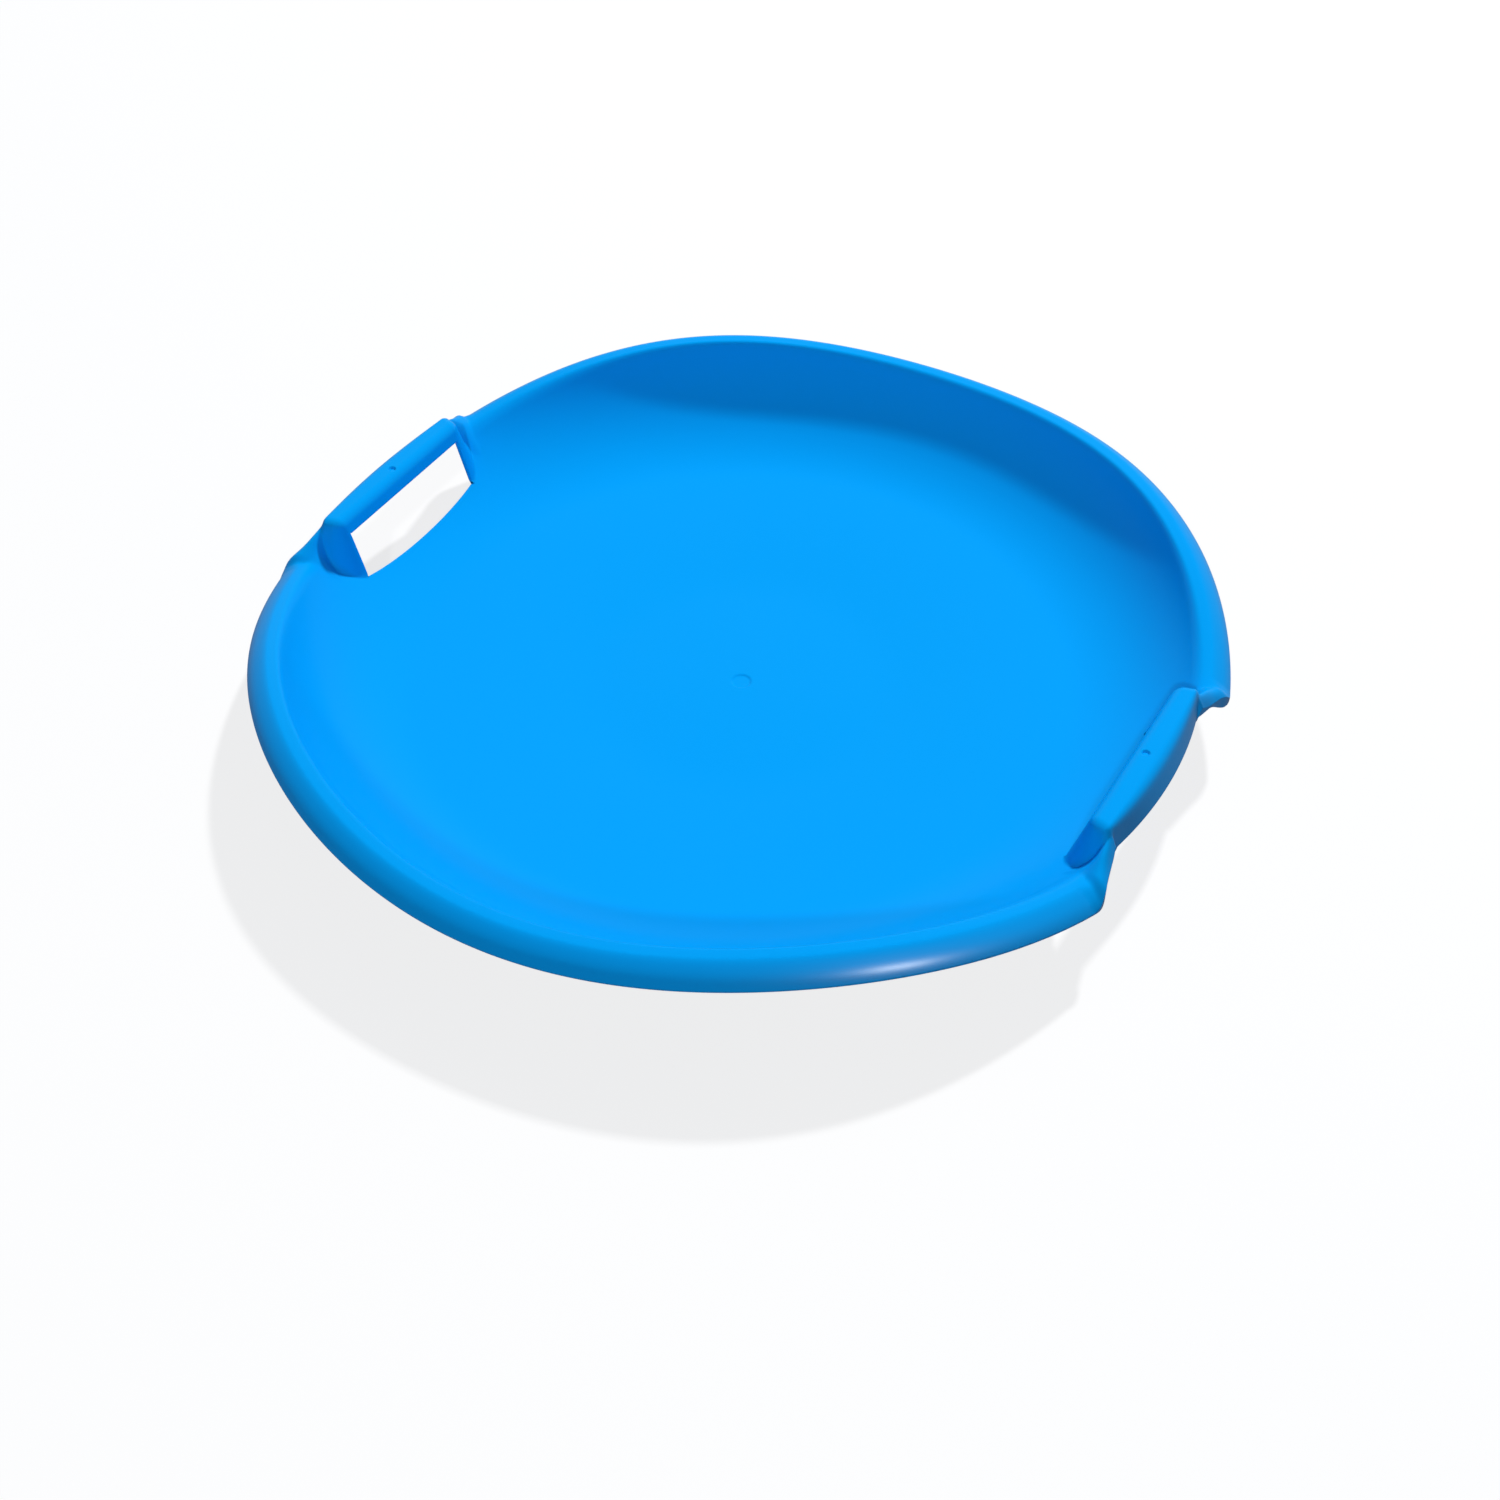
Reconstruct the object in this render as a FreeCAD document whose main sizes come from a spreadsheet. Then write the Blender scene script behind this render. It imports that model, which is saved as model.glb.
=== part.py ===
"""Saucer sled: a one-piece moulded dish with a waving rolled rim and two raised hand grips.

The moulding is built as its natural regions, which meet face to face: a flat base, a shallow floor ring,
four hollow-curved wall panels, two rim arcs with tapering ends that run into the grips, and two grip bars
with their cheeks.
Millimetres, +Z up, X through the two grips, origin on the ground under the middle of the dish.
"""
import FreeCAD, Part
import math
import os

import Sketcher

# Driving sizes: alias, value, meaning
SIZES = [
    ("rim_radius", 290.0, "outer radius of the rim at the foot of its skirt"),
    ("skin", 2.5, "thickness of the moulded sheet"),
    ("floor_run", 98.0, "width of the floor ring round the flat base"),
    ("floor_clear", 9.0, "distance of the floor ring from the foot of the wall's bend"),
    ("floor_angle", 4.5, "rise of the floor ring, degrees"),
    ("wall_width", 93.0, "distance of the foot of the wall's bend from the rim's outer radius"),
    ("crest_mean", 60.0, "mean height of the rim's crest"),
    ("wave_two", 11.0, "rise of the crest from the grips to the front and back"),
    ("wave_four", 7.2, "rise of the crest at the four quarters"),
    ("bead_width", 20.0, "width of the rim from the crest's inner edge to the skirt"),
    ("bead_corner", 9.0, "outer corner radius between crest and skirt"),
    ("wall_join", 2.0, "run of the wall that belongs to the rim"),
    ("skirt_height", 11.5, "height of the rim from the foot of its skirt to the crest"),
    ("skirt_lean", 0.5, "draft of the skirt over its height"),
    ("rim_end_lead", 5.3, "angle from the end of the grip's top to where the full rim ends, degrees"),
    ("neck_lead", 1.3, "angle from the end of the grip's top to where the rim runs into the grip, degrees"),
    ("neck_width", 8.0, "width of the rim where it runs into the grip"),
    ("neck_corner", 3.2, "outer corner radius of the rim where it runs into the grip"),
    ("neck_skirt", 6.0, "height of the rim from its foot to the crest where it runs into the grip"),
    ("grip_rise", 7.0, "height of the grip's top over the mean crest"),
    ("grip_setback", 21.5, "distance of the grip's outer top edge from the rim's outer radius"),
    ("grip_end", 9.9, "width of the grip's top at its ends"),
    ("grip_length", 127.2, "length of the grip's top, straight across its outer corners"),
    ("grip_draft", 17.0, "lean of the grip's sides, degrees"),
    ("grip_corner", 5.0, "radius of the grip's upright corners at its top"),
    ("grip_edge", 4.0, "radius round the grip's top"),
    ("grip_skirt", 18.0, "depth of the grip's outer side over the hand slot"),
    ("grip_lip", 10.0, "depth of the grip's inner side over the hand slot"),
    ("cheek_width", 4.7, "width of the cheek beside the hand slot, at the grip's inner top edge"),
    ("mark_radius", 2.0, "radius of the round mark on the grip"),
    ("mark_depth", 0.8, "depth of the round mark on the grip"),
    ("mark_inset", 6.0, "distance of the mark from the grip's inner top edge"),
    ("gate_radius", 6.0, "radius of the gate mark in the middle of the base"),
    ("gate_depth", 0.5, "depth of the gate mark"),
]

# Number of sections along the rim and across the grip
RIM_SECTION_COUNT = 13
GRIP_SECTION_COUNT = 7

# An edge this close to the grip's top counts as lying in it
TOP_NEARNESS = 0.01

# Heights and radii that follow from the driving sizes, as expressions
FLOOR_TAN = "tan(Sizes.floor_angle * 1 deg)"
FLOOR_SIN = "sin(Sizes.floor_angle * 1 deg)"
FLOOR_COS = "cos(Sizes.floor_angle * 1 deg)"
DRAFT_TAN = "tan(Sizes.grip_draft * 1 deg)"
DRAFT_COS = "cos(Sizes.grip_draft * 1 deg)"
GRIP_TOP = "(Sizes.crest_mean + Sizes.grip_rise)"
GRIP_RADIUS = "(Sizes.rim_radius - Sizes.grip_setback)"
GRIP_HALF = f"asin(Sizes.grip_length / 2 / {GRIP_RADIUS})"
GRIP_INNER = f"({GRIP_RADIUS} * cos({GRIP_HALF}) - Sizes.grip_end)"
RIM_END = f"({GRIP_HALF} / 1 deg + Sizes.rim_end_lead)"
NECK_END = f"({GRIP_HALF} / 1 deg + Sizes.neck_lead)"
SLOT_HALF = f"({GRIP_INNER} * tan({GRIP_HALF}) - Sizes.cheek_width)"
CREST_INNER = "(Sizes.rim_radius - Sizes.bead_width)"
WALL_RADIUS = f"({CREST_INNER} - Sizes.wall_join)"
FOOT_RADIUS = "(Sizes.rim_radius - Sizes.wall_width)"
FLOOR_RADIUS = f"({FOOT_RADIUS} - Sizes.floor_clear)"
BASE_RADIUS = f"({FLOOR_RADIUS} - Sizes.floor_run)"
FLOOR_EDGE = f"(Sizes.skin + Sizes.floor_run * {FLOOR_TAN})"
FLOOR_EDGE_UNDER = f"({FLOOR_EDGE} - Sizes.skin / {FLOOR_COS})"
FOOT_HEIGHT = f"({FLOOR_EDGE} + Sizes.floor_clear * {FLOOR_TAN})"
FOOT = (FOOT_RADIUS, FOOT_HEIGHT)
FOOT_UNDER = (
    f"({FOOT_RADIUS} + Sizes.skin * {FLOOR_SIN})",
    f"({FOOT_HEIGHT} - Sizes.skin * {FLOOR_COS})",
)

# In one upright section the wall is an arc about its own hub, from its foot up to the crest
CREST = "(Constraints.crest / 1 mm)"
CREST_UNDER = f"({CREST} - Sizes.skin)"
HUB = ("(Constraints.hub_radius / 1 mm)", "(Constraints.hub / 1 mm)")
WALL_BEND = f"(({HUB[1]} - {FOOT_HEIGHT}) / {FLOOR_COS})"
WALL_BEND_UNDER = f"({WALL_BEND} + Sizes.skin)"
WALL_TOP = f"({HUB[1]} - sqrt({WALL_BEND} ^ 2 - ({WALL_RADIUS} - {HUB[0]}) ^ 2))"
WALL_TOP_UNDER = f"({HUB[1]} - sqrt({WALL_BEND_UNDER} ^ 2 - ({WALL_RADIUS} - {HUB[0]}) ^ 2))"
CREST_INNER_UNDER = f"({HUB[0]} + sqrt({WALL_BEND_UNDER} ^ 2 - ({HUB[1]} - {CREST_UNDER}) ^ 2))"

doc = FreeCAD.newDocument("saucer_sled")
sheet = doc.addObject("Spreadsheet::Sheet", "Sizes")
for row, (alias, value, meaning) in enumerate(SIZES, start=1):
    sheet.set(f"A{row}", meaning)
    sheet.set(f"B{row}", str(value))
    sheet.setAlias(f"B{row}", alias)
doc.recompute()

nodes = []


def node(piece, label):
    """Name a finished region and keep it for export."""
    piece.Label = label
    nodes.append(piece)
    return piece


def number(owner, expression):
    """Value of an expression as a plain number."""
    result = owner.evalExpression(expression)
    return float(getattr(result, "Value", result))


def origin_plane(body, role):
    """One of the body's own origin planes."""
    return next(feature for feature in body.Origin.OriginFeatures if feature.Role == role)


def attached_sketch(body, name, role):
    """New sketch on one of the body's origin planes."""
    sketch = body.newObject("Sketcher::SketchObject", name)
    sketch.AttachmentSupport = [(origin_plane(body, role), "")]
    sketch.MapMode = "FlatFace"
    return sketch


def bind(sketch, kind, geometry, expression, name):
    """Dimension of a sketch, tied to an expression."""
    value = number(sketch, expression)
    index = sketch.addConstraint(Sketcher.Constraint(kind, *geometry, value))
    sketch.renameConstraint(index, name)
    sketch.setExpression(f"Constraints.{name}", expression)


def draw(sketch, outline, arcs):
    """Closed outline through corners given as expressions; arcs maps a side to its centre and radius."""
    up = FreeCAD.Vector(0, 0, 1)
    corners = [FreeCAD.Vector(number(sketch, x), number(sketch, y), 0) for x, y in outline]
    sides = []
    for k, start in enumerate(corners):
        finish = corners[(k + 1) % len(corners)]
        if k not in arcs:
            index = sketch.addGeometry(Part.LineSegment(start, finish), False)
            sides.append((index, 1, 2))
            continue
        centre_x, centre_y, radius = arcs[k]
        centre = FreeCAD.Vector(number(sketch, centre_x), number(sketch, centre_y), 0)
        from_angle = math.atan2(start.y - centre.y, start.x - centre.x)
        to_angle = math.atan2(finish.y - centre.y, finish.x - centre.x)
        circle = Part.Circle(centre, up, number(sketch, radius))
        if (start - centre).cross(finish - centre).z > 0:
            index = sketch.addGeometry(Part.ArcOfCircle(circle, from_angle, to_angle), False)
            sides.append((index, 1, 2))
        else:
            index = sketch.addGeometry(Part.ArcOfCircle(circle, to_angle, from_angle), False)
            sides.append((index, 2, 1))
    for k, (index, _, last) in enumerate(sides):
        following, first, _ = sides[(k + 1) % len(sides)]
        sketch.addConstraint(Sketcher.Constraint("Coincident", index, last, following, first))
    for k, (x, y) in enumerate(outline):
        index, first, _ = sides[k]
        if x == "0":
            sketch.addConstraint(Sketcher.Constraint("PointOnObject", index, first, -2))
        else:
            bind(sketch, "DistanceX", (-1, 1, index, first), x, f"across_{k}")
        if y == "0":
            sketch.addConstraint(Sketcher.Constraint("PointOnObject", index, first, -1))
        else:
            bind(sketch, "DistanceY", (-1, 1, index, first), y, f"up_{k}")
    for k, (_, _, radius) in arcs.items():
        bind(sketch, "Radius", (sides[k][0],), radius, f"round_{k}")


def height_mark(sketch, across, height, name):
    """Construction point whose radius and height the rest of the section is measured from."""
    place = FreeCAD.Vector(number(sketch, across), number(sketch, height), 0)
    point = sketch.addGeometry(Part.Point(place), True)
    bind(sketch, "DistanceX", (-1, 1, point, 1), across, f"{name}_radius")
    bind(sketch, "DistanceY", (-1, 1, point, 1), height, name)


def upright_section(body, name, angle, outline, arcs):
    """Outline of (radius, height) corners in the upright plane at an angle from the grip's middle."""
    sketch = attached_sketch(body, name, "XZ_Plane")
    turn = FreeCAD.Rotation(FreeCAD.Vector(0, 1, 0), number(sheet, angle))
    sketch.AttachmentOffset = FreeCAD.Placement(FreeCAD.Vector(), turn)
    sketch.setExpression("AttachmentOffset.Rotation.Angle", f"{angle} * 1 deg")
    crest = (
        f"Sizes.crest_mean - Sizes.wave_two * cos(2 * {angle} * 1 deg)"
        f" - Sizes.wave_four * cos(4 * {angle} * 1 deg)"
    )
    height_mark(sketch, CREST_INNER, crest, "crest")
    run = f"({CREST_INNER} - {FOOT_RADIUS})"
    rise = f"({CREST} - {FOOT_HEIGHT})"
    bend = f"({run} ^ 2 + {rise} ^ 2) / (2 * ({rise} * {FLOOR_COS} - {run} * {FLOOR_SIN}))"
    hub = (f"{FOOT_RADIUS} - {bend} * {FLOOR_SIN}", f"{FOOT_HEIGHT} + {bend} * {FLOOR_COS}")
    height_mark(sketch, *hub, "hub")
    draw(sketch, outline, arcs)
    return sketch


def loft(name, first_angle, last_angle, sections):
    """Body lofted through evenly spaced upright sections that follow the rim's waving crest."""
    body = doc.addObject("PartDesign::Body", name)
    sketches = []
    for k, (outline, arcs) in enumerate(sections):
        angle = f"({first_angle} + ({last_angle} - {first_angle}) * {k} / {len(sections) - 1})"
        sketches.append(upright_section(body, f"{name}_section_{k}", angle, outline, arcs))
    doc.recompute()
    skin = body.newObject("PartDesign::AdditiveLoft", f"{name}_loft")
    skin.Profile = sketches[0]
    skin.Sections = sketches[1:]
    doc.recompute()
    return body


def turned(name, outline):
    """Body revolved about the middle of the dish."""
    body = doc.addObject("PartDesign::Body", name)
    sketch = attached_sketch(body, f"{name}_profile", "XZ_Plane")
    draw(sketch, outline, {})
    doc.recompute()
    revolution = body.newObject("PartDesign::Revolution", f"{name}_revolution")
    revolution.Profile = sketch
    revolution.ReferenceAxis = (sketch, ["V_Axis"])
    revolution.Angle = 360
    doc.recompute()
    return body


def edge_names(shape, wanted):
    """Names of the edges whose lowest and highest points pass a test."""
    names = []
    for index, edge in enumerate(shape.Edges, start=1):
        heights = [point.z for point in edge.discretize(9)]
        if wanted(min(heights), max(heights)):
            names.append(f"Edge{index}")
    return names


def rounded(body, name, edges, radius):
    """Fillet on the body's tip."""
    base = body.Tip
    fillet = body.newObject("PartDesign::Fillet", name)
    fillet.Base = (base, edges)
    fillet.setExpression("Radius", radius)
    doc.recompute()
    return fillet


def grip_block(name, inset, drop):
    """Tapered block of the grip from its top down to the ground, drawn in by inset and lowered by drop."""
    body = doc.addObject("PartDesign::Body", name)
    sketch = attached_sketch(body, f"{name}_top", "XY_Plane")
    sketch.setExpression("AttachmentOffset.Base.z", f"{GRIP_TOP} - {drop}")
    corner = f"(Sizes.grip_corner - {inset})"
    inner = f"({GRIP_INNER} + {inset})"
    outer = f"({GRIP_RADIUS} - {inset})"
    inner_x = f"({inner} + {corner})"
    inner_y = f"(({inner_x} * sin({GRIP_HALF}) - Sizes.grip_corner) / cos({GRIP_HALF}))"
    outer_angle = f"({GRIP_HALF} - asin(Sizes.grip_corner / ({outer} - {corner})))"
    outer_x = f"(({outer} - {corner}) * cos({outer_angle}))"
    outer_y = f"(({outer} - {corner}) * sin({outer_angle}))"
    side_x = f"{corner} * sin({GRIP_HALF})"
    side_y = f"{corner} * cos({GRIP_HALF})"
    half_outline = [
        (inner, inner_y),
        (f"{inner_x} - {side_x}", f"({inner_y} + {side_y})"),
        (f"{outer_x} - {side_x}", f"({outer_y} + {side_y})"),
        (f"{outer} * cos({outer_angle})", f"({outer} * sin({outer_angle}))"),
    ]
    outline = [(x, f"-{y}") for x, y in half_outline] + half_outline[::-1]
    arcs = {
        0: (inner_x, f"-{inner_y}", corner),
        2: (outer_x, f"-{outer_y}", corner),
        3: ("0", "0", outer),
        4: (outer_x, outer_y, corner),
        6: (inner_x, inner_y, corner),
    }
    draw(sketch, outline, arcs)
    doc.recompute()
    pad = body.newObject("PartDesign::Pad", f"{name}_pad")
    pad.Profile = sketch
    pad.Reversed = True
    pad.setExpression("Length", f"{GRIP_TOP} - {drop}")
    pad.setExpression("TaperAngle", "Sizes.grip_draft")
    doc.recompute()
    top = number(sheet, f"{GRIP_TOP} - {drop}")
    rim = edge_names(pad.Shape, lambda low, high: low > top - TOP_NEARNESS)
    rounded(body, f"{name}_edge", rim, f"Sizes.grip_edge - {drop}")
    return body


def block(name, sizes, corner):
    """Box tied to expressions: its length, width and height, and its lowest corner."""
    box = doc.addObject("Part::Box", name)
    for key, expression in zip(("Length", "Width", "Height"), sizes):
        box.setExpression(key, expression)
    for key, expression in zip("xyz", corner):
        box.setExpression(f"Placement.Base.{key}", expression)
    return box


def boolean(kind, name, base, tool):
    """Cut or common of two objects."""
    result = doc.addObject(kind, name)
    result.Base = base
    result.Tool = tool
    doc.recompute()
    return result


def mirrored(name, source, normal, label):
    """The same region on the other side of the dish."""
    copy = doc.addObject("Part::Mirroring", name)
    copy.Source = source
    copy.Normal = normal
    doc.recompute()
    return node(copy, label)


across = FreeCAD.Vector(1, 0, 0)
along = FreeCAD.Vector(0, 1, 0)

# Flat base with the gate mark, and the floor ring round it
base_outline = [
    ("0", "0"),
    (BASE_RADIUS, "0"),
    (BASE_RADIUS, "Sizes.skin"),
    ("Sizes.gate_radius", "Sizes.skin"),
    ("Sizes.gate_radius", "Sizes.skin - Sizes.gate_depth"),
    ("0", "Sizes.skin - Sizes.gate_depth"),
]
node(turned("BaseDisc", base_outline), "base_disc")
ring_outline = [
    (BASE_RADIUS, "0"),
    (FLOOR_RADIUS, FLOOR_EDGE_UNDER),
    (FLOOR_RADIUS, FLOOR_EDGE),
    (BASE_RADIUS, "Sizes.skin"),
]
node(turned("FloorRing", ring_outline), "floor_ring")

# Wall of the dish at the back and front, from the floor ring up to the rim
wall_section = (
    [
        (FLOOR_RADIUS, FLOOR_EDGE_UNDER),
        FOOT_UNDER,
        (WALL_RADIUS, WALL_TOP_UNDER),
        (WALL_RADIUS, WALL_TOP),
        FOOT,
        (FLOOR_RADIUS, FLOOR_EDGE),
    ],
    {1: (*HUB, WALL_BEND_UNDER), 3: (*HUB, WALL_BEND)},
)
BACK_END = f"(180 - {RIM_END})"
back_wall = node(loft("BackWall", RIM_END, BACK_END, [wall_section] * RIM_SECTION_COUNT), "back_wall")
mirrored("FrontWall", back_wall, along, "front_wall")


def rim_section(outer, corner, height):
    """Rolled rim, open underneath: crest, rounded outer corner and skirt."""
    crest_outer = f"({outer} - Sizes.skirt_lean - {corner})"
    corner_height = f"({CREST} - {corner})"
    skirt_foot = f"({CREST} - {height})"
    outline = [
        (WALL_RADIUS, WALL_TOP_UNDER),
        (CREST_INNER_UNDER, CREST_UNDER),
        (crest_outer, CREST_UNDER),
        (f"{outer} - Sizes.skirt_lean - Sizes.skin", corner_height),
        (f"{outer} - Sizes.skin", skirt_foot),
        (outer, skirt_foot),
        (f"{outer} - Sizes.skirt_lean", corner_height),
        (crest_outer, CREST),
        (CREST_INNER, CREST),
        (WALL_RADIUS, WALL_TOP),
    ]
    arcs = {
        2: (crest_outer, corner_height, f"{corner} - Sizes.skin"),
        6: (crest_outer, corner_height, corner),
    }
    return outline, arcs


# Rolled rim at the back and front
full_rim = rim_section("Sizes.rim_radius", "Sizes.bead_corner", "Sizes.skirt_height")
back_rim = node(loft("BackRim", RIM_END, BACK_END, [full_rim] * RIM_SECTION_COUNT), "back_rim")
mirrored("FrontRim", back_rim, along, "front_rim")

# Dish wall at the right grip, and the space under it
under_section = (
    [
        (FLOOR_RADIUS, "0"),
        ("Sizes.rim_radius + Sizes.bead_width", "0"),
        ("Sizes.rim_radius + Sizes.bead_width", CREST),
        (CREST_INNER, CREST),
        (CREST_INNER_UNDER, CREST_UNDER),
        FOOT_UNDER,
        (FLOOR_RADIUS, FLOOR_EDGE_UNDER),
    ],
    {4: (*HUB, WALL_BEND_UNDER)},
)
UNDER_END = f"(1.5 * {RIM_END})"
side_wall = loft("SideWall", f"(-{RIM_END})", RIM_END, [wall_section] * GRIP_SECTION_COUNT)
side_under = loft("SideUnder", f"(-{UNDER_END})", UNDER_END, [under_section] * GRIP_SECTION_COUNT)

# Tapered grip: a hollow block, open underneath
grip_outside = grip_block("GripOutside", "0", "0")
GRIP_INSET = f"(Sizes.skin / {DRAFT_COS} - Sizes.skin * {DRAFT_TAN})"
grip_inside = grip_block("GripInside", GRIP_INSET, "Sizes.skin")
grip_shell = boolean("Part::Cut", "GripShell", grip_outside, grip_inside)
right_wall = node(boolean("Part::Cut", "RightWall", side_wall, grip_outside), "right_wall")
mirrored("LeftWall", right_wall, across, "left_wall")

# Tapering ends of the rim that run into the grips
narrow_rim = rim_section(f"({CREST_INNER} + Sizes.neck_width)", "Sizes.neck_corner", "Sizes.neck_skirt")
end_whole = loft("EndWhole", RIM_END, NECK_END, [full_rim, narrow_rim])
right_back_end = node(boolean("Part::Cut", "RightBackEnd", end_whole, grip_outside), "right_back_rim_end")
right_front_end = mirrored("RightFrontEnd", right_back_end, along, "right_front_rim_end")
mirrored("LeftBackEnd", right_back_end, across, "left_back_rim_end")
mirrored("LeftFrontEnd", right_front_end, across, "left_front_rim_end")

# Grip bar over the hand slot, with its round mark
bar_zone = block(
    "BarZone",
    ("Sizes.rim_radius", f"2 * {SLOT_HALF}", "Sizes.grip_skirt"),
    ("0", f"-{SLOT_HALF}", f"{GRIP_TOP} - Sizes.grip_skirt"),
)
lip_zone = block(
    "LipZone",
    (f"({GRIP_INNER} + {GRIP_RADIUS}) / 2", f"2 * {SLOT_HALF}", GRIP_TOP),
    ("0", f"-{SLOT_HALF}", "-Sizes.grip_lip"),
)
mark_zone = doc.addObject("Part::Cylinder", "MarkZone")
mark_zone.setExpression("Radius", "Sizes.mark_radius")
mark_zone.setExpression("Height", GRIP_TOP)
mark_zone.setExpression("Placement.Base.x", f"{GRIP_INNER} + Sizes.mark_inset")
mark_zone.setExpression("Placement.Base.z", f"{GRIP_TOP} - Sizes.mark_depth")
bar_whole = boolean("Part::Common", "BarWhole", grip_shell, bar_zone)
bar_trimmed = boolean("Part::Cut", "BarTrimmed", bar_whole, lip_zone)
right_grip = node(boolean("Part::Cut", "RightGrip", bar_trimmed, mark_zone), "right_grip")
mirrored("LeftGrip", right_grip, across, "left_grip")

# Cheeks: the slanted ends of the grip, down to the dish wall
cheek_zone = block(
    "CheekZone",
    ("2 * Sizes.rim_radius", "Sizes.rim_radius", GRIP_TOP),
    ("0", SLOT_HALF, "0"),
)
cheek_whole = boolean("Part::Common", "CheekWhole", grip_shell, cheek_zone)
cheek = node(boolean("Part::Cut", "RightBackCheek", cheek_whole, side_under), "right_back_cheek")
right_front_cheek = mirrored("RightFrontCheek", cheek, along, "right_front_cheek")
mirrored("LeftBackCheek", cheek, across, "left_back_cheek")
mirrored("LeftFrontCheek", right_front_cheek, across, "left_front_cheek")

# Every object has to be sound before anything is written
for item in doc.Objects:
    if {"Invalid", "Error"} & set(item.State):
        raise RuntimeError(f"{item.Label} failed: {item.State}")
for piece in nodes:
    shape = piece.Shape
    if shape.isNull() or not shape.isValid() or len(shape.Solids) != 1:
        raise RuntimeError(f"{piece.Label} is not one sound solid")

os.makedirs("parts", exist_ok=True)
for piece in nodes:
    piece.Shape.exportStep(f"parts/{piece.Label}.step")
    box = piece.Shape.optimalBoundingBox()
    print(f"{piece.Label}: {piece.Shape.Volume / 1000:.1f} cm3, z {box.ZMin:.1f} to {box.ZMax:.1f}")
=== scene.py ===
"""Saucer sled on a white table: one moulded sheet with a waving rolled rim and two raised hand grips."""
import math

import bpy
import numpy as np
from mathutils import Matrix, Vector


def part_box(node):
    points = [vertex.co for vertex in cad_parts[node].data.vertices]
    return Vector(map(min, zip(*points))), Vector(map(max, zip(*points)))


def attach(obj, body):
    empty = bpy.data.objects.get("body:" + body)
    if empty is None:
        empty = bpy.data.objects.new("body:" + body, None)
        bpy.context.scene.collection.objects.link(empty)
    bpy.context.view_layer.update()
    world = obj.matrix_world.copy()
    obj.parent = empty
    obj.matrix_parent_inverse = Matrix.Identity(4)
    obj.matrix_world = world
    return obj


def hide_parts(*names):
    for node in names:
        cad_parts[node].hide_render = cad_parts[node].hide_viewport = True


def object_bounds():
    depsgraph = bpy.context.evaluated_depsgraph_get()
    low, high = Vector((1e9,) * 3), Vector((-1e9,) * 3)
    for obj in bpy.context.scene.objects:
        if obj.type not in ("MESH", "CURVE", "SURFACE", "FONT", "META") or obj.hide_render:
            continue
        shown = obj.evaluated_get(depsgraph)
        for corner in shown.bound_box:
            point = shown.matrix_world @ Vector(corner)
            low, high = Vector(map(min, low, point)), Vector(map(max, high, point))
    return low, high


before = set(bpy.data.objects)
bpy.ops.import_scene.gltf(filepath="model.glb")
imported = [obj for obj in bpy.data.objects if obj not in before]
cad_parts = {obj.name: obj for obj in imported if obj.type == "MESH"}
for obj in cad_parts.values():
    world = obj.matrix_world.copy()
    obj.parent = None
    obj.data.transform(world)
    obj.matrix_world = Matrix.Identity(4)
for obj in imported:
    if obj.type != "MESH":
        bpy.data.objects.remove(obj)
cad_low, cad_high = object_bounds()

bl_info = {
    "name": "Saucer sled",
    "version": (1, 0, 0),
    "blender": (4, 5, 0),
    "location": "View3D > Sidebar > Sled",
    "description": "Builds a moulded saucer sled and the white table it stands on",
    "category": "Mesh",
}

# A millimetre in metres, a guard against division by zero, and two sizes taken from the solids
MM = 0.001
TINY = 1e-12
GRIP_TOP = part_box("right_grip")[1].z
RIM_RADIUS = cad_high.y

# Turns in degrees from the middle of a grip, over which the sheet changes from grip to plain rim
SHOULDER_RISES = (12, 13.3)
SHOULDER_FALLS_FROM = 12.9
SHOULDER_WIDENS = (13.9, 17.5)
SHOULDER_ENDS = (17.6, 20.8)
SKIRT_FOOT_DROPS = (14.5, 18.7)
RIM_GROWS = (16.5, 20)
PIECES_MEET = 20
# Past this turn the neck's straight line lies outside the rim, so it is followed no farther
NECK_LAST = 24

# Form of rim and shoulder: a pair holds the value beside the grip and the one where the form is full
RIM_DEPTH_SHARES = (0.12, 0.92)
RIM_WIDTH_SHARES = (0.4, 1)
SHOULDER_FLATS = (2 * MM, 7 * MM)
SHOULDER_INNER_SLOPES = (3.2, 1.25)
SHOULDER_OUTER_SLOPE = 2.1

# How far the shoulder's ridge is sunk where it starts in the grip and where it ends in the rim
SHOULDER_START_SINK = 14 * MM
SHOULDER_END_SINK = 25 * MM

# The rim's outer face falls partly at an even slope and partly in a curl close to its edge
EVEN_FALL = 0.7
CURLED_FALL = 0.3
CURL_POWER = 4

# Widths of the roundings where two forms run into each other
FLOOR_BLEND = 16 * MM
CREST_BLEND = 1.2 * MM
WALL_RIM_BLEND = 5 * MM
NECK_GRIP_BLEND = 1.5 * MM
NECK_RIM_BLEND = 4 * MM
SHOULDER_INNER_BLEND = 3 * MM
SHOULDER_OUTER_BLEND = 4 * MM
SHOULDER_GRIP_BLEND = 3 * MM
GRIP_DISH_BLEND = 1 * MM
# The grip's ends run into the dish with a wider rounding, over this length and between these radii
GRIP_END_BLEND = 8 * MM
GRIP_END_RUN = 16 * MM
GRIP_END_RADII = (243 * MM, 262 * MM)
# The grip's outer edge bows up to this distance from its middle
BOW_END = 62 * MM

# The side of a round mark slopes between these shares of its radius
MARK_SIDE = (0.8, 1.25)
GATE_SIDE = (0.85, 1.1)

# Rings of the grid inside the wall, in millimetres from the middle
INNER_RINGS = (1, 2, 3, 4, 5, 5.5, 6, 6.5, 7.5, 10, 15, 24, 36, 50, 65, 78, 86, 94, 104, 120, 135, 150)
FLOOR_END = INNER_RINGS[-1] * MM
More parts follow.
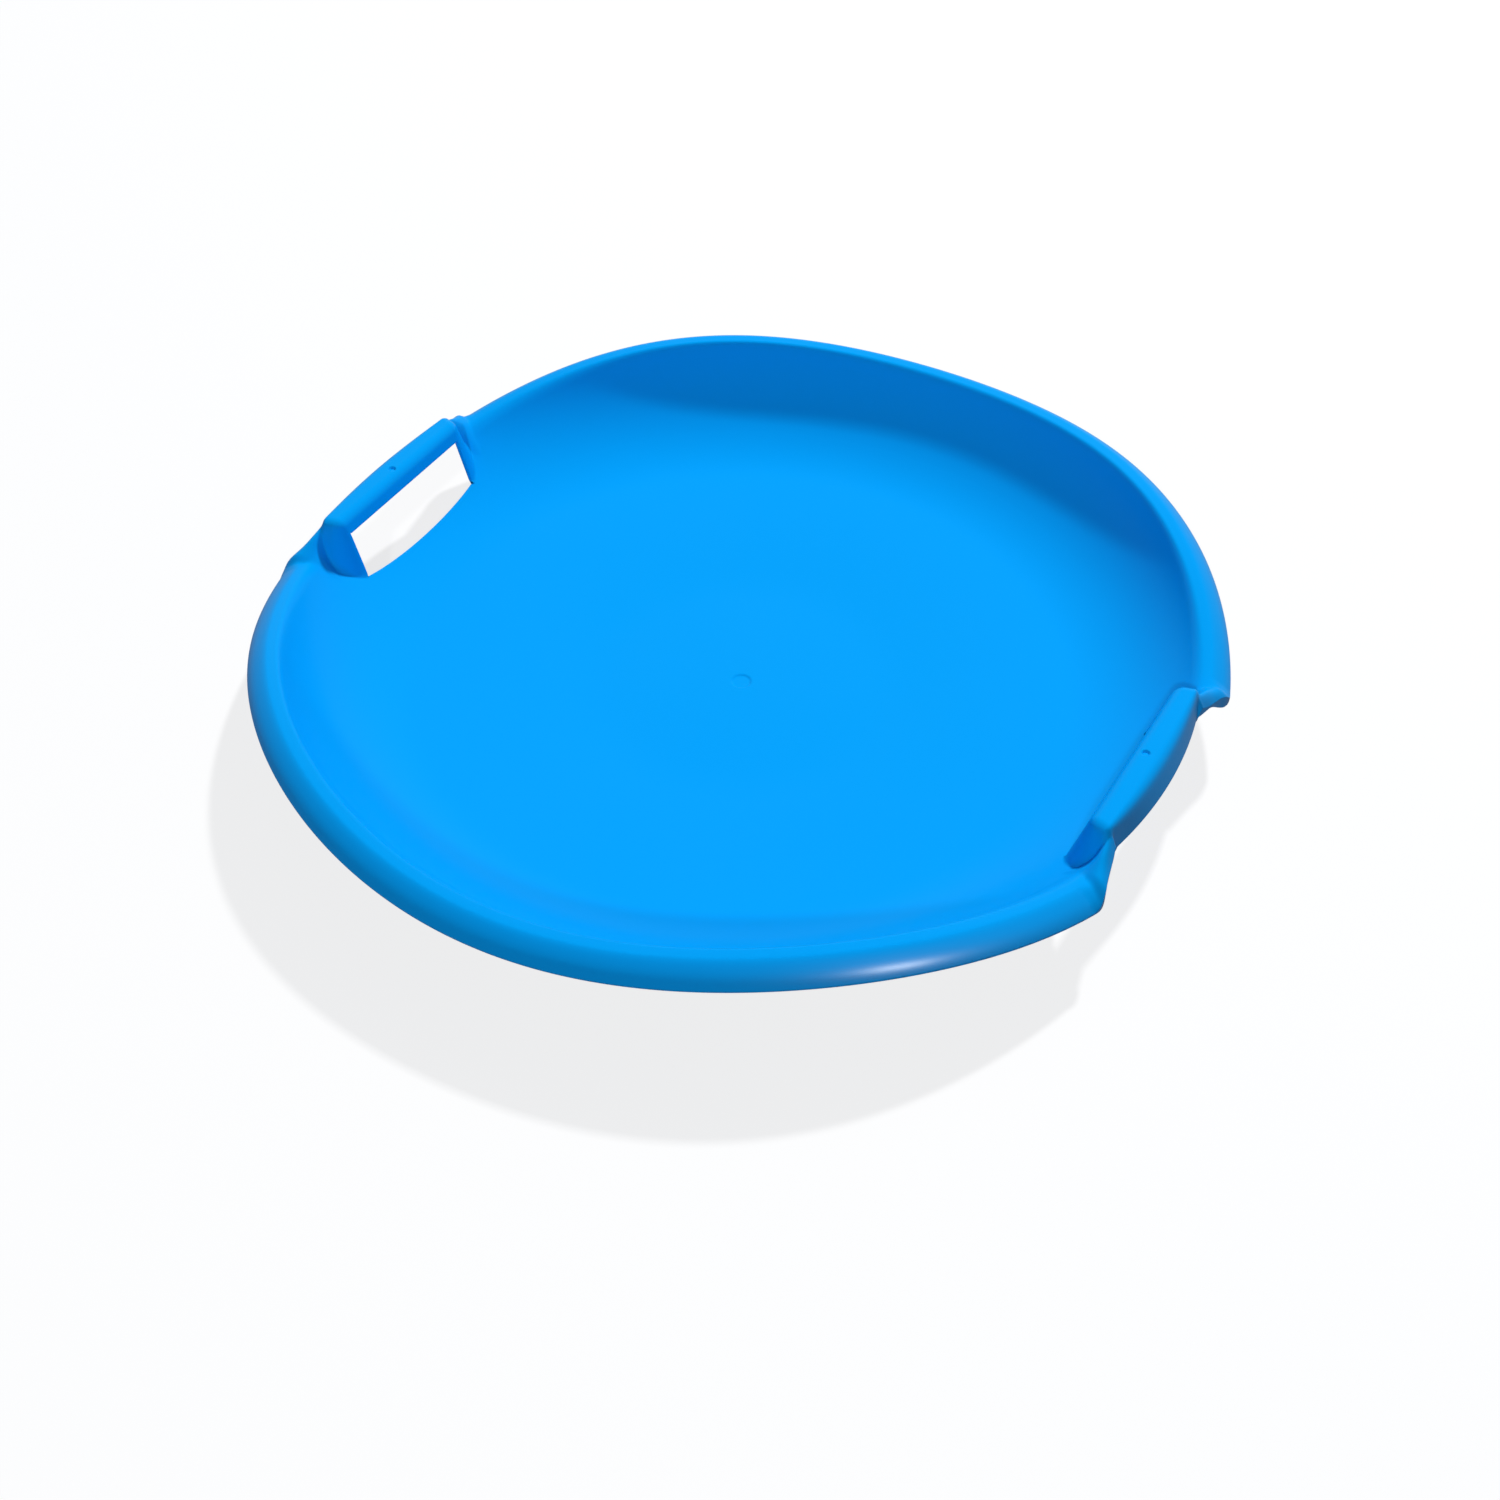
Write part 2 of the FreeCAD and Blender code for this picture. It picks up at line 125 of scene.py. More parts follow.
# Main lines of the grid from there on: their radii away from the grips, and the rings up to each
RIM_LINES = (232 * MM, 239 * MM, 247 * MM, 256 * MM, 267 * MM)
RING_COUNTS = (26, 7, 10, 9, 20, 10, 10)
# Numbers of the main lines at the foot of the hand slot, at the grip's lip and where the rim starts
FOOT_LINE, LIP_LINE, RIM_LINE = 1, 2, 4
# Distances of the lines from the slot's foot and from the grip's outer edge
FOOT_MARGIN = 7 * MM
EDGE_MARGIN = 2 * MM
# Farthest from the grip's middle that the lines follow the grip, and turns over which they leave it
GRIP_REACH = 75 * MM
LINES_LEAVE = (13.7, 21)
SPOKES_LOOSE = 17
# Spokes over the grip's mark, over the hand slot and then up to each turn in degrees
MARK_REACH = 3 * MM
MARK_SPOKES = 8
SLOT_SPOKES = 34
SPOKE_SPANS = ((17.6, 42), (22, 20), (90, 66))
# Rows of faces down the rim's outer side, and the least height of that side
SKIRT_STEPS = 4
SKIRT_LEAST = 0.2 * MM
# Search for the foot of the grip's inner side
SEARCH_START = 200 * MM
SEARCH_STEPS = 40

# Rounded cut edge of the sheet: its rows of points, and how far it bulges as a share of the skin
EDGE_SHARES = (0.25, 0.5, 0.75)
EDGE_BULGE = 0.4

# Numbers of the pieces that the sheet is cut into
DISH, GRIP_RIGHT, GRIP_LEFT, RIM_BACK, RIM_FRONT = range(5)

# Sizes of the patterns in the plastic
GLOSS_PATCH = 83.3 * MM
MOULD_GRAIN = 2 * MM

# Sockets of a Mix node for colours
MIX_FACTOR, MIX_FIRST, MIX_SECOND, MIX_RESULT = 0, 6, 7, 2

# Share of the white in mirrored rays, the table's own glow, and its grey to all rays but the camera's
MIRRORED_WHITE = 0.3
TABLE_GLOW = 0.79
TABLE_GREY = 0.08

# Table just below the sled's base, and the point that the lights are aimed at
TABLE_HALF = 6.0
TABLE_LEVEL = -0.2 * MM
LIGHT_TARGET = (0, 0, 30 * MM)

# Camera: lens and sensor in millimetres, place in metres and direction of view
LENS = 50.59
SENSOR = 36
CAMERA_PLACE = (0.4850, -0.8230, 0.8729)
CAMERA_VIEW = (-0.3604, 0.6195, -0.6974)


def length(name, description, default):
    """Length property in metres."""
    return bpy.props.FloatProperty(name=name, description=description, default=default, min=0, unit="LENGTH")


def angle(name, description, degrees):
    """Angle property."""
    return bpy.props.FloatProperty(
        name=name, description=description, default=math.radians(degrees), subtype="ANGLE"
    )


def linear(code):
    """Linear colour of an sRGB hex code."""
    shares = [int(code[k:k + 2], 16) / 255 for k in (0, 2, 4)]
    return [s / 12.92 if s <= 0.04045 else ((s + 0.055) / 1.055) ** 2.4 for s in shares]


def colour(name, description, code):
    """Colour property with an sRGB hex default."""
    return bpy.props.FloatVectorProperty(
        name=name, description=description, default=linear(code), size=3, min=0, max=1, subtype="COLOR"
    )


class SledSizes(bpy.types.PropertyGroup):
    """Sizes of the moulding."""

    rim_radius: length("Rim radius", "Outer radius of the rim", RIM_RADIUS)
    skin: length("Skin", "Thickness of the moulded sheet", 2.5 * MM)
    base_radius: length("Base radius", "Radius of the flat middle", 90 * MM)
    floor_angle: angle("Floor angle", "Rise of the floor round the flat middle", 4.5)
    wall_width: length("Wall width", "Distance of the foot of the wall from the rim's outer radius", 93 * MM)
    crest_mean: length("Crest", "Mean height of the rim's crest", 60 * MM)
    wave_two: length("Long wave", "Rise of the crest from the grips to the front and back", 11 * MM)
    wave_four: length("Short wave", "Rise of the crest at the four quarters", 7.2 * MM)
    bead_width: length("Rim width", "Width of the rolled rim", 20 * MM)
    slope_width: length("Rim slope", "Width of the rim's sloping outer face", 11.5 * MM)
    skirt_height: length("Rim depth", "Height of the rim from its foot to the crest", 11.5 * MM)
    neck_line: length("Neck line", "Distance of the neck's straight outer edge from the middle", 233.9 * MM)
    neck_angle: angle("Neck angle", "Slant of the neck's straight outer edge", 17.8)
    shoulder_top: length("Shoulder height", "Height of the shoulder's ridge by the grip", 67 * MM)
    shoulder_fall: length("Shoulder fall", "Fall of the shoulder's ridge in each degree of turn", 3.3 * MM)
    shoulder_inset: length("Shoulder inset", "Distance of the shoulder's ridge from the outer edge", 3.5 * MM)
    grip_top: length("Grip height", "Height of the top of the grip", GRIP_TOP)
    grip_inner: length("Grip inner edge", "Distance of the straight inner edge from the middle", 251 * MM)
    grip_radius: length("Grip radius", "Radius of the outer top edge at the grip's middle", 267.2 * MM)
    grip_bow: length("Grip bow", "How much farther out that edge lies at the slot's ends", 2.75 * MM)
    grip_foot: length("Grip foot", "Radius of the foot of the grip's outer side", 272.6 * MM)
    grip_length: length("Grip length", "Length of the grip's top across its outer corners", 128 * MM)
    grip_draft: angle("Grip draft", "Lean of the grip's inner side and ends", 17)
    grip_corner: length("Grip corner", "Radius of the grip's upright corners", 5 * MM)
    grip_edge: length("Grip edge", "Radius round the grip's top", 7 * MM)
    grip_lip: length("Grip lip", "Depth of the grip's inner side over the hand slot", 10 * MM)
    grip_skirt: length("Grip skirt", "Depth of the grip's outer side over the hand slot", 17.5 * MM)
    slot_length: length("Slot length", "Length of the hand slot", 113 * MM)
    mark_inset: length("Mark inset", "Distance of the grip's round mark from its inner edge", 6 * MM)
    mark_radius: length("Mark radius", "Radius of the round mark on the grip", 2 * MM)
    mark_depth: length("Mark depth", "Depth of the round mark on the grip", 1.4 * MM)
    gate_radius: length("Gate radius", "Radius of the gate mark in the middle", 6 * MM)
    gate_depth: length("Gate depth", "Depth of the gate mark in the middle", 0.8 * MM)


class SledColours(bpy.types.PropertyGroup):
    """Colours of the moulding, the table and the surroundings."""

    moulding: colour("Moulding", "Dyed plastic of the sled", "00A0F2")
    table: colour("Table", "White table top", "FCFCFC")
    surroundings: colour("Surroundings", "Pale blue light that reaches the sled from all round", "8FC4FF")


def smooth_step(value, low, high):
    """0 below low and 1 above high, with a smooth rise between."""
    share = np.clip((value - low) / (high - low), 0, 1)
    return share * share * (3 - 2 * share)


def turned(turn, span):
    """Smooth rise from 0 to 1 over a span of turns given in degrees."""
    return smooth_step(turn, math.radians(span[0]), math.radians(span[1]))


def between(ends, share):
    """Value at a share of the way from the first end to the second."""
    return ends[0] * (1 - share) + ends[1] * share


def soft_max(first, second, blend):
    """Larger of two values, rounded where they cross."""
    gap = np.maximum(blend - np.abs(first - second), 0)
    return np.maximum(first, second) + gap * gap / (4 * blend)


def soft_min(first, second, blend):
    """Smaller of two values, rounded where they cross."""
    return -soft_max(-first, -second, blend)


def dimple(distance, radius, depth, side):
    """Depth of a round mark at a distance from its middle."""
    return depth * (1 - smooth_step(distance, radius * side[0], radius * side[1]))


class Sheet:
    """The moulded sheet as a grid of rings and spokes, in the quarter with positive X and Y."""

    def __init__(self, sizes):
        self.s = sizes
        self.corner_turn = math.asin(sizes.grip_length / 2 / sizes.grip_radius)
        self.lean = math.tan(sizes.grip_draft)
        self.edge_reach = sizes.grip_edge * math.tan((math.pi / 2 - sizes.grip_draft) / 2)
        self.slot_half = sizes.slot_length / 2

    def crest(self, turn):
        """Height of the rim's crest, which waves twice and four times in a turn."""
        s = self.s
        return s.crest_mean - s.wave_two * np.cos(2 * turn) - s.wave_four * np.cos(4 * turn)

    def dish(self, radius, turn):
        """Height of floor and wall, whose section is an arc from the floor up to the crest."""
        s = self.s
        floor_sin, floor_cos = math.sin(s.floor_angle), math.cos(s.floor_angle)
        floor_tan = math.tan(s.floor_angle)
        foot, join = s.rim_radius - s.wall_width, s.rim_radius - s.bead_width
        foot_height = s.skin + (foot - s.base_radius) * floor_tan
        run, rise = join - foot, self.crest(turn) - foot_height
        bend = (run**2 + rise**2) / (2 * (rise * floor_cos - run * floor_sin))
        hub, hub_height = foot - bend * floor_sin, foot_height + bend * floor_cos
        arc = hub_height - np.sqrt(bend**2 - (np.clip(radius, foot, join) - hub) ** 2)
        steepness = (join - hub) / (hub_height - self.crest(turn))
        out = soft_max(radius - s.base_radius, np.zeros_like(radius), FLOOR_BLEND)
        floor = s.skin + out * floor_tan
        return np.where(radius < foot, floor, arc + np.maximum(radius - join, 0) * steepness)

    def grip_outer(self, y):
        """Radius of the grip's outer top edge, which is straighter than the rim."""
        return self.s.grip_radius + self.s.grip_bow * (np.minimum(y, BOW_END) / self.slot_half) ** 2

    def outer(self, turn):
        """Outer radius: the full rim, drawn in along a straight line to the grip's skirt."""
        s = self.s
        neck = s.neck_line / np.cos(np.minimum(turn, math.radians(NECK_LAST)) + s.neck_angle)
        neck = soft_max(neck, np.full_like(turn, s.grip_foot), NECK_GRIP_BLEND)
        return soft_min(neck, np.full_like(turn, s.rim_radius), NECK_RIM_BLEND)

    def rim(self, radius, turn):
        """Height of dish and rolled rim."""
        s = self.s
        full = turned(turn, RIM_GROWS)
        drop = s.skirt_height * between(RIM_DEPTH_SHARES, full)
        width = s.slope_width * between(RIM_WIDTH_SHARES, full)
        share = np.clip((radius - self.outer(turn) + width) / width, -1, 1)
        fall = drop * (EVEN_FALL * share + CURLED_FALL * np.maximum(share, 0) ** CURL_POWER)
        roll = self.crest(turn) - soft_max(fall, np.zeros_like(fall), CREST_BLEND)
        return soft_min(self.dish(radius, turn), roll, WALL_RIM_BLEND)

    def block(self, x, y):
        """Height of the tapered grip block with its rounded top edge."""
        s = self.s
        edge = self.grip_outer(y)
        beyond = (np.hypot(x, y) - edge) * self.lean * s.grip_skirt / (s.grip_foot - edge)
        along = np.maximum(s.grip_inner - x, beyond)
        aside = y * math.cos(self.corner_turn) - x * math.sin(self.corner_turn)
        corner = s.grip_corner
        outside = np.hypot(np.maximum(along + corner, 0), np.maximum(aside + corner, 0))
        gap = np.minimum(np.maximum(along, aside) + corner, 0) + outside - corner
        round_end = s.grip_edge * math.cos(s.grip_draft)
        bend = np.clip(gap + self.edge_reach, 0, round_end)
        top = s.grip_top - s.grip_edge + np.sqrt(s.grip_edge**2 - bend**2)
        below = np.maximum(gap + self.edge_reach - round_end, 0)
        return top - below / self.lean

    def shoulder(self, radius, turn):
        """Height of the rounded shoulder that runs from the grip's outer corner down to the rim."""
        s = self.s
        line = self.outer(turn) - s.shoulder_inset
        past = np.maximum(np.degrees(turn), SHOULDER_FALLS_FROM) - SHOULDER_FALLS_FROM
        ridge = s.shoulder_top - s.shoulder_fall * past
        ridge = ridge - SHOULDER_START_SINK * (1 - turned(turn, SHOULDER_RISES))
        ridge = ridge - SHOULDER_END_SINK * turned(turn, SHOULDER_ENDS)
        wide = turned(turn, SHOULDER_WIDENS)
        none = np.zeros_like(radius)
        inward = soft_max(line - between(SHOULDER_FLATS, wide) - radius, none, SHOULDER_INNER_BLEND)
        outward = soft_max(radius - line, none, SHOULDER_OUTER_BLEND)
        return ridge - between(SHOULDER_INNER_SLOPES, wide) * inward - SHOULDER_OUTER_SLOPE * outward

    def height(self, x, y):
        """Height of the whole sheet without its hand slot."""
        radius, turn = np.hypot(x, y), np.arctan2(y, x)
        raised = soft_max(self.block(x, y), self.shoulder(radius, turn), SHOULDER_GRIP_BLEND)
        past_slot = smooth_step(np.abs(y), self.slot_half, self.slot_half + GRIP_END_RUN)
        fillet = GRIP_DISH_BLEND + GRIP_END_BLEND * past_slot * smooth_step(radius, *GRIP_END_RADII)
        return soft_max(self.rim(radius, turn), raised, fillet)

    def slot_foot(self, y):
        """Distance from the middle at which the grip's inner side meets the dish."""
        near, far = np.full_like(y, SEARCH_START), np.full_like(y, self.s.grip_inner)
        for _ in range(SEARCH_STEPS):
            x = (near + far) / 2
            low = self.s.grip_top - (self.s.grip_inner - x) / self.lean
            under = low < self.dish(np.hypot(x, y), np.arctan2(y, x))
            near, far = np.where(under, x, near), np.where(under, far, x)
        return x

    def spokes(self):
        """Turns of the spokes where they cross the grip's inner edge, closest where the shape is tightest."""
        mark = np.linspace(0, MARK_REACH, MARK_SPOKES)[:-1]
        slot = np.linspace(MARK_REACH, self.slot_half, SLOT_SPOKES)
        first = np.arctan2(np.concatenate([mark, slot]), self.s.grip_inner)
        parts = [first]
        for stop, count in SPOKE_SPANS:
            parts.append(np.linspace(parts[-1][-1], math.radians(stop), count + 1)[1:])
        return np.concatenate(parts), len(first) - 1

    def grid(self):
        """Radii and turns of the grid's points as rings by spokes, rows of its lines and the slot's spoke."""
        s = self.s
        turns, slot_spoke = self.spokes()
        y = np.minimum(s.grip_inner * np.tan(turns), GRIP_REACH)
        loose = smooth_step(turns, turns[slot_spoke], math.radians(SPOKES_LOOSE))
        free = turned(turns, LINES_LEAVE)
        reach = np.hypot(self.slot_foot(y), y)
        lip = s.grip_inner - s.grip_lip * self.lean
        grip_edge = np.hypot(s.grip_inner, y)
        by_grip = [
            reach - FOOT_MARGIN,
            reach,
            np.hypot(lip, y),
            grip_edge,
            (grip_edge + s.grip_radius) / 2,
            np.maximum(self.grip_outer(y) - EDGE_MARGIN, grip_edge),
        ]
        by_rim = [*RIM_LINES, s.rim_radius - s.slope_width]
        lines = [np.full_like(y, FLOOR_END)]
        lines += [between(ends, free) for ends in zip(by_grip, by_rim)]
        lines.append(self.outer(turns))
        rings = [np.full_like(y, ring * MM) for ring in INNER_RINGS]
        rows = []
        for index, count in enumerate(RING_COUNTS):
            for step in range(1, count + 1):
                share = step / count
                # The last rings close up towards the outer edge
                if index == len(RING_COUNTS) - 1:
                    share = math.sin(share * math.pi / 2)
                rings.append(between(lines[index:index + 2], share))
            rows.append(len(rings) - 1)
        radius = np.array(rings)
        # Spokes stay straight across the grip and turn to the middle inside it
        held = np.arcsin(y / np.maximum(radius, reach))
        inner = turns + (np.arcsin(y / reach) - turns) * smooth_step(radius, FLOOR_END, reach)
        held = np.where(radius < reach, inner, held)
        return radius, between((held, turns), loose), rows, slot_spoke

    def surface(self):
        """Quarter of the sheet: upper points without marks, depths of marks, rows of lines, slot's spoke."""
        s = self.s
        radius, turn, rows, slot_spoke = self.grid()
        x, y = radius * np.cos(turn), radius * np.sin(turn)
        z = self.height(x, y)
        # Inside the hand slot's foot the dish runs on without the grip
        bare = np.zeros_like(z, bool)
        bare[:rows[FOOT_LINE] + 1, :slot_spoke] = True
        z = np.where(bare, self.rim(radius, turn), z)
        sunk = dimple(np.hypot(x - s.grip_inner - s.mark_inset, y), s.mark_radius, s.mark_depth, MARK_SIDE)
        sunk += dimple(radius, s.gate_radius, s.gate_depth, GATE_SIDE)
        # Outer side of the grip and rim, straight down from the outermost ring
        brim = z[-1]
        feet = s.grip_top - s.grip_skirt, self.crest(turn[-1]) - s.skirt_height
        skirt_foot = np.minimum(between(feet, turned(turn[-1], SKIRT_FOOT_DROPS)), brim - SKIRT_LEAST)
        for step in range(1, SKIRT_STEPS + 1):
            fall = between((brim, skirt_foot), step / SKIRT_STEPS)
            x, y, z = np.vstack([x, x[-1]]), np.vstack([y, y[-1]]), np.vstack([z, fall])
            sunk = np.vstack([sunk, np.zeros_like(fall)])
        return np.stack([x, y, z], axis=-1), sunk, rows, slot_spoke

    def build(self):
        """Whole sheet: upper points without marks, depths of marks, faces, their pieces, count of spokes."""
        points, sunk, rows, slot_spoke = self.surface()
        quarter = points.shape[1]
        flips = [(1, 1), (-1, 1), (-1, -1), (1, -1)]
        parts, sinks, orders = [], [], []
        for index, (flip_x, flip_y) in enumerate(flips):
            order = np.arange(quarter - 1) if index % 2 == 0 else np.arange(quarter - 1, 0, -1)
            parts.append(points[:, order] * np.array([flip_x, flip_y, 1]))
            sinks.append(sunk[:, order])
            orders.append(order)
        points, sunk = np.concatenate(parts, axis=1), np.concatenate(sinks, axis=1)
        own = np.concatenate(orders)
        ring_count, spoke_count = sunk.shape
        ring, spoke = np.meshgrid(np.arange(ring_count - 1), np.arange(spoke_count), indexing="ij")
        ring, spoke = ring.ravel(), spoke.ravel()
        after = (spoke + 1) % spoke_count
        here, beyond = ring * spoke_count, (ring + 1) * spoke_count
        faces = np.stack([here + spoke, beyond + spoke, beyond + after, here + after], axis=-1)
        own_spoke = np.maximum(own[spoke], own[after])
        right, back = (points[0, spoke, axis] + points[0, after, axis] > 0 for axis in (0, 1))
        neck_spoke = int(np.searchsorted(self.spokes()[0], math.radians(PIECES_MEET)))
        in_grip = (ring >= rows[FOOT_LINE]) & (own_spoke <= neck_spoke)
        in_rim = (ring >= rows[RIM_LINE]) & ~in_grip
        grip_piece = np.where(right, GRIP_RIGHT, GRIP_LEFT)
        rim_piece = np.where(back, RIM_BACK, RIM_FRONT)
        piece = np.where(in_grip, grip_piece, np.where(in_rim, rim_piece, DISH))
        open_slot = (ring >= rows[FOOT_LINE]) & (ring < rows[LIP_LINE]) & (own_spoke <= slot_spoke)
        keep = ~open_slot
        return points.reshape(-1, 3), sunk.ravel(), faces[keep], piece[keep], spoke_count


def vertex_normals(points, faces):
    """Area-weighted unit normals of a grid's points."""
    first, second, third, fourth = (points[faces[:, corner]] for corner in range(4))
    across = np.cross(third - first, fourth - second)
    normals = np.zeros_like(points)
    for corner in range(4):
        np.add.at(normals, faces[:, corner], across)
    size = np.linalg.norm(normals, axis=1, keepdims=True)
    return normals / np.maximum(size, TINY)


def boundary(faces):
    """Directed edges that only one of the faces has."""
    edges = np.concatenate([faces[:, [k, (k + 1) % 4]] for k in range(4)])
    seen = {}
    for start, stop in edges.tolist():
        if (stop, start) in seen:
            del seen[(stop, start)]
        else:
            seen[(start, stop)] = True
    return np.array(list(seen), dtype=int).reshape(-1, 2)


class Moulding:
    """Grid of the sheet with its thickness, from which the pieces are cut."""

    def __init__(self, sizes):
        self.points, sunk, self.faces, self.piece, self.spokes = Sheet(sizes).build()
        self.skin = sizes.skin
        self.normals = vertex_normals(self.points, self.faces)
        self.top = self.points - np.outer(sunk, [0, 0, 1])
        self.low = self.points - self.normals * self.skin
        self.top_normals = vertex_normals(self.top, self.faces)
        # Cut edges of the whole sheet, apart from the small hole inside the first ring
        edges = boundary(self.faces)
        edges = edges[edges.max(axis=1) >= self.spokes]
        self.cut = set(map(tuple, edges.tolist()))
        self.out = np.zeros_like(self.points)
        away = np.cross(self.points[edges[:, 1]] - self.points[edges[:, 0]], self.normals[edges[:, 0]])
        for end in range(2):
            np.add.at(self.out, edges[:, end], away)
        self.out /= np.maximum(np.linalg.norm(self.out, axis=1, keepdims=True), TINY)

    def round_edge(self, index, share):
        """Place and normal on the rounded cut edge, from the upper side at 0 to the lower side at 1."""
        turn = share * math.pi
        normal = self.normals[index] * math.cos(turn) + self.out[index] * math.sin(turn)
        middle = (self.top[index] + self.low[index]) / 2
        place = middle + self.normals[index] * (self.skin / 2) * math.cos(turn)
        return place + self.out[index] * (EDGE_BULGE * self.skin) * math.sin(turn), normal

    def mesh(self, name, code):
        """Closed mesh of the faces with one piece code."""
        chosen = self.faces[self.piece == code]
        used = np.unique(chosen)
        count = len(used)
        index = np.full(len(self.points), -1)
        index[used] = np.arange(count)
        places = np.concatenate([self.top[used], self.low[used]]).tolist()
        faces = index[chosen].tolist() + (index[chosen][:, ::-1] + count).tolist()
        normals = self.top_normals[chosen].reshape(-1, 3).tolist()
        normals += (-self.normals[chosen][:, ::-1]).reshape(-1, 3).tolist()
        rounded = {}
        ends = {}

        def strip(vertex):
            """Corners and normals of the cut edge at one point, from the upper to the lower side."""
            if vertex not in rounded:
                corners = [(int(index[vertex]), self.normals[vertex])]
                for share in EDGE_SHARES:
                    place, normal = self.round_edge(vertex, share)
                    places.append(place.tolist())
                    corners.append((len(places) - 1, normal))
                corners.append((int(index[vertex]) + count, -self.normals[vertex]))
                rounded[vertex] = corners
            return rounded[vertex]

        centre = None
        for start, stop in boundary(chosen).tolist():
            first, last = int(index[start]), int(index[stop])
            if max(start, stop) < self.spokes:
                # The hole inside the first ring is closed by a fan of triangles above and below
                if centre is None:
                    centre = len(places)
                    places.append(self.top[:self.spokes].mean(axis=0).tolist())
                    places.append(self.low[:self.spokes].mean(axis=0).tolist())
                faces.append([last, first, centre])
                faces.append([first + count, last + count, centre + 1])
                normals += [[0, 0, 1]] * 3 + [[0, 0, -1]] * 3
            elif (start, stop) in self.cut:
                # A cut edge of the sheet is rounded
                here, there = strip(start), strip(stop)
                for k in range(len(here) - 1):
                    corners = [there[k], here[k], here[k + 1], there[k + 1]]
                    faces.append([corner for corner, _ in corners])
                    normals += [list(normal) for _, normal in corners]
                ends[start] = ends.get(start, 0) + 1
                ends[stop] = ends.get(stop, 0) - 1
            else:
                # Where two pieces meet, a plain side closes each of them
                faces.append([last, first, first + count, last + count])
                flat = np.cross(self.points[stop] - self.points[start], self.normals[start])
                flat = flat / max(np.linalg.norm(flat), TINY)
                normals += [list(flat)] * 4
        # The end of a rounded edge is closed by a cap
        for vertex, balance in ends.items():
            if balance:
                corners = [corner for corner, _ in strip(vertex)]
                faces.append(corners[::-1] if balance < 0 else corners)
                flat = np.cross(self.normals[vertex], self.out[vertex]) * balance
                normals += [list(flat)] * len(corners)
        mesh = bpy.data.meshes.new(name)
        mesh.from_pydata(places, [], faces)
        mesh.polygons.foreach_set("use_smooth", np.ones(len(faces), bool))
        mesh.normals_split_custom_set(normals)
        mesh.update()
        return mesh


def add_node(tree, kind, settings=None, links=None):
    """New shader node; settings are properties or socket values, links name a socket and what feeds it."""
    node = tree.nodes.new(kind)
    for key, value in (settings or {}).items():
        if isinstance(key, str) and hasattr(node, key):
            setattr(node, key, value)
        else:
            node.inputs[key].default_value = value
    for key, output in (links or {}).items():
        tree.links.new(output, node.inputs[key])
    return node


def new_material(name):
    """Empty node material with its output node."""
    material = bpy.data.materials.new(name)
    material.use_nodes = True
    tree = material.node_tree
    tree.nodes.clear()
    return material, tree, add_node(tree, "ShaderNodeOutputMaterial")


def polyethylene(base):
    """Dyed high-density polyethylene, injection moulded: a saturated body colour under a soft gloss."""
    material, tree, output = new_material("dyed_polyethylene")
    place = add_node(tree, "ShaderNodeTexCoord").outputs["Object"]
    # Slow shrinkage of the moulding leaves its gloss uneven over patches of about 80 mm
    patches = add_node(
        tree, "ShaderNodeTexNoise", {"Scale": 1 / GLOSS_PATCH, "Detail": 2.0}, {"Vector": place}
    )
    gloss = add_node(
        tree,
        "ShaderNodeMapRange",
        {"From Min": 0.2, "From Max": 0.8, "To Min": 0.29, "To Max": 0.33},
        {"Value": patches.outputs["Fac"]},
    )
    # The mould's fine grain is about 0.3 mm, drawn at 2 mm so that it shows at all
    grain = add_node(tree, "ShaderNodeTexNoise", {"Scale": 1 / MOULD_GRAIN, "Detail": 3.0}, {"Vector": place})
    bump = add_node(
        tree, "ShaderNodeBump", {"Strength": 0.05, "Distance": 0.2 * MM}, {"Height": grain.outputs["Fac"]}
    )
    shader = add_node(
        tree,
        "ShaderNodeBsdfPrincipled",
        {"Base Color": (*base, 1), "IOR": 1.51, "Specular IOR Level": 0.15},
        {"Roughness": gloss.outputs["Result"], "Normal": bump.outputs["Normal"]},
    )
    tree.links.new(shader.outputs["BSDF"], output.inputs["Surface"])
    return material


def white_share(tree, path):
    """Share of white that a ray meets: all from the camera, a faint part when mirrored or let through."""
    mirrored = add_node(
        tree,
        "ShaderNodeMath",
        {"operation": "MAXIMUM"},
        {0: path.outputs["Is Glossy Ray"], 1: path.outputs["Is Transmission Ray"]},
    )
    faint = add_node(
        tree, "ShaderNodeMath", {"operation": "MULTIPLY", 1: MIRRORED_WHITE}, {0: mirrored.outputs[0]}
    )
    seen = add_node(
        tree,
        "ShaderNodeMath",
        {"operation": "MAXIMUM"},
        {0: path.outputs["Is Camera Ray"], 1: faint.outputs[0]},
    )
    return seen.outputs[0]


